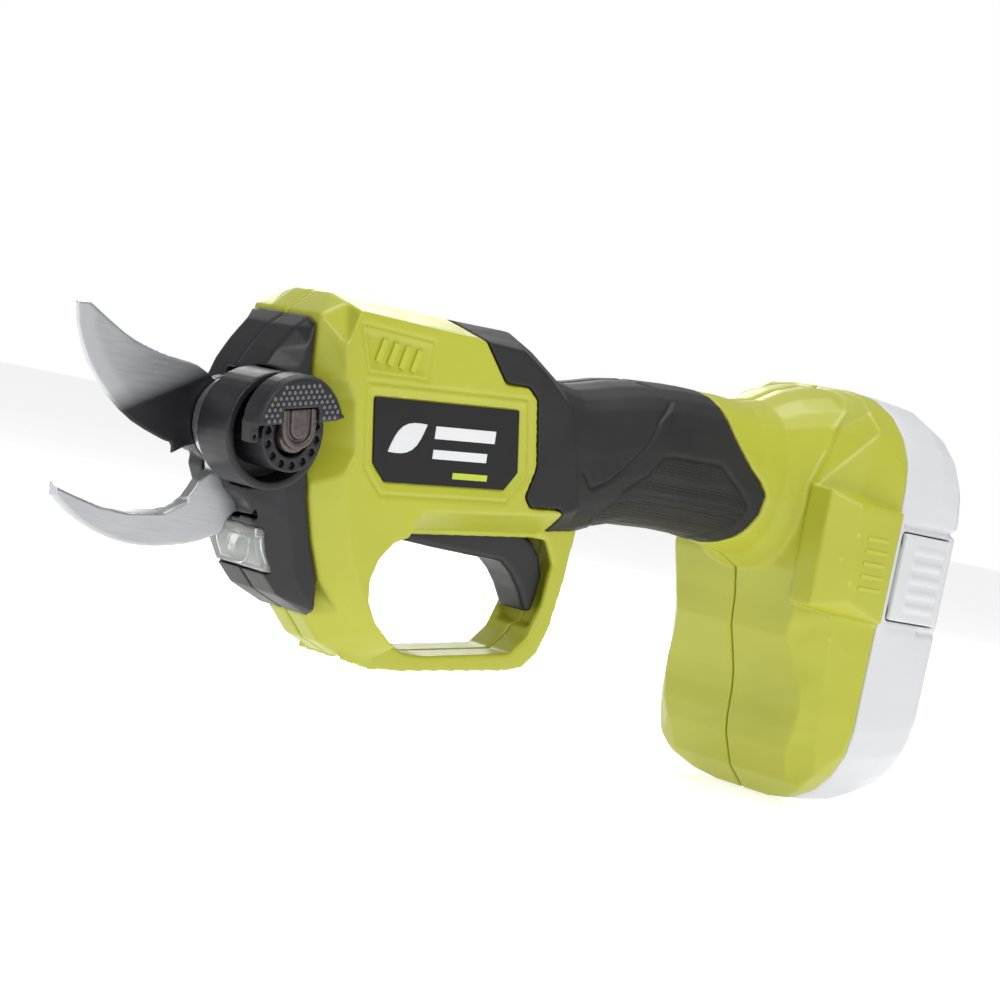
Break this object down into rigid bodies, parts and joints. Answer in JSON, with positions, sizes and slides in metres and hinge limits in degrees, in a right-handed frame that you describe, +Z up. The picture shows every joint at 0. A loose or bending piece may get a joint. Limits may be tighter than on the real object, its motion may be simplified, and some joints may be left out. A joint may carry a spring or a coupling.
{
  "type": "battery electric pruner",
  "caption": "Hand-held battery pruner: curved bypass blades on a pivot with a lock lever, closed finger guard with trigger, rubber-covered handle, slide-on battery.",
  "frame": {"origin": "middle of the bounding box's bottom, under the handle", "axes": "+X back along the handle from the blades to the battery, +Y across the tool away from the lock lever (the pivot bolt lies along Y), +Z up"},
  "size_m": [0.2758, 0.0712, 0.114],
  "materials": {
    "lime_shell": "fine moulded grain, satin",
    "rubber_grip": "soft overmould with a fine dotted palm panel",
    "black_plastic": "satin moulded plastic",
    "label_plate": "smooth printed plate with a plain leaf sign",
    "clear_lens": "clear moulded lens",
    "circuit_board": "solder-masked board",
    "blade_steel": "brushed along the blade, ground edge, dark coated root on the moving blade",
    "dark_steel": "black oxide",
    "bright_steel": "ground",
    "cast_aluminium": "die cast",
    "brass_gear": "machined",
    "copper_winding": "wound and varnished",
    "lead_insulation": "flat flexible leads",
    "frosted_case": "pale grey, frosted",
    "cell_wrap": "shrink-wrapped cans"
  },
  "bodies": {
    "frame": {"housing_left": "lime_shell", "housing_right": "lime_shell", "grip_left": "rubber_grip", "grip_right": "rubber_grip", "nose_left": "black_plastic", "nose_right": "black_plastic", "pivot_cup": "black_plastic", "lock_ring": "black_plastic", "pivot_cap": "black_plastic", "motor_end": "black_plastic", "terminal_block": "black_plastic", "label_left": "label_plate", "label_right": "label_plate", "led_lens": "clear_lens", "led_board": "circuit_board", "sensor_board": "circuit_board", "control_board": "circuit_board", "fixed_blade": "blade_steel", "pivot_nut": "dark_steel", "pivot_spacer": "dark_steel", "blade_screw": "dark_steel", "ring_gear": "dark_steel", "motor_can": "dark_steel", "housing_screw_1": "dark_steel", "housing_screw_2": "dark_steel", "housing_screw_3": "dark_steel", "housing_screw_4": "dark_steel", "housing_screw_5": "dark_steel", "pinion_bearing": "bright_steel", "trigger_pin": "bright_steel", "trigger_spring": "bright_steel", "gearcase": "cast_aluminium", "terminal_left": "brass_gear", "terminal_right": "brass_gear", "stator": "copper_winding", "motor_leads": "lead_insulation"},
    "moving_blade": {"moving_blade": "blade_steel", "sector_gear": "dark_steel"},
    "lock_lever": {"lock_lever": "black_plastic", "pivot_bolt": "dark_steel"},
    "carrier": {"planet_carrier": "dark_steel", "pinion": "dark_steel"},
    "planet_1": {"planet_gear_1": "brass_gear"},
    "planet_2": {"planet_gear_2": "brass_gear"},
    "planet_3": {"planet_gear_3": "brass_gear"},
    "rotor": {"motor_shaft": "bright_steel", "rotor_magnet": "cast_aluminium", "sun_gear": "brass_gear"},
    "trigger": {"trigger": "black_plastic", "trigger_magnet": "bright_steel"},
    "battery": {"battery_case": "frosted_case", "battery_cover": "frosted_case", "cell_1": "cell_wrap", "cell_2": "cell_wrap", "cell_3": "cell_wrap", "cell_4": "cell_wrap", "cell_5": "cell_wrap"},
    "latch_left": {"battery_latch_left": "frosted_case"},
    "latch_right": {"battery_latch_right": "frosted_case"}
  },
  "joints": [
    {"name": "rotor_spin", "type": "hinge", "parent": "frame", "child": "rotor", "pos_m": [-0.0919, 0, 0.0726], "axis": [0.9869, 0, 0.1616], "range_deg": [0, 672]},
    {"name": "blade_pivot", "type": "hinge", "parent": "frame", "child": "moving_blade", "pos_m": [-0.0919, 0, 0.0726], "axis": [0, -1, 0], "range_deg": [-0.5, 48.5]},
    {"name": "carrier_spin", "type": "hinge", "parent": "frame", "child": "carrier", "pos_m": [-0.0919, 0, 0.0726], "axis": [0.9869, 0, 0.1616], "range_deg": [-2, 170]},
    {"name": "planet_1_spin", "type": "hinge", "parent": "carrier", "child": "planet_1", "pos_m": [-0.0919, 0.006, 0.0726], "axis": [0.9869, 0, 0.1616], "range_deg": [-512, 8]},
    {"name": "planet_2_spin", "type": "hinge", "parent": "carrier", "child": "planet_2", "pos_m": [-0.09274, -0.003, 0.07773], "axis": [0.9869, 0, 0.1616], "range_deg": [-512, 8]},
    {"name": "planet_3_spin", "type": "hinge", "parent": "carrier", "child": "planet_3", "pos_m": [-0.09106, -0.003, 0.06747], "axis": [0.9869, 0, 0.1616], "range_deg": [-512, 8]},
    {"name": "lock_lever_turn", "type": "hinge", "parent": "frame", "child": "lock_lever", "pos_m": [-0.0919, 0, 0.0726], "axis": [0, -1, 0], "range_deg": [0, 60]},
    {"name": "trigger_pull", "type": "hinge", "parent": "frame", "child": "trigger", "pos_m": [-0.0412, 0, 0.0575], "axis": [0, -1, 0], "range_deg": [0, 8], "stiffness_Nm_per_rad": 0.3, "springref_deg": -6.88, "deforming": ["trigger_spring"]},
    {"name": "battery_slide", "type": "slide", "parent": "frame", "child": "battery", "axis": [1, 0, 0], "range_m": [0, 0.062]},
    {"name": "latch_left_press", "type": "slide", "parent": "battery", "child": "latch_left", "axis": [0, 1, 0], "range_m": [0, 0.002], "stiffness_N_per_m": 900, "springref_m": -0.002},
    {"name": "latch_right_press", "type": "slide", "parent": "battery", "child": "latch_right", "axis": [0, -1, 0], "range_m": [0, 0.002], "stiffness_N_per_m": 900, "springref_m": -0.002}
  ],
  "couplings": [
    {"joint": "blade_pivot", "follows": "rotor_spin", "ratio": 0.071429},
    {"joint": "carrier_spin", "follows": "rotor_spin", "ratio": 0.25},
    {"joint": "planet_1_spin", "follows": "rotor_spin", "ratio": -0.75},
    {"joint": "planet_2_spin", "follows": "rotor_spin", "ratio": -0.75},
    {"joint": "planet_3_spin", "follows": "rotor_spin", "ratio": -0.75}
  ]
}
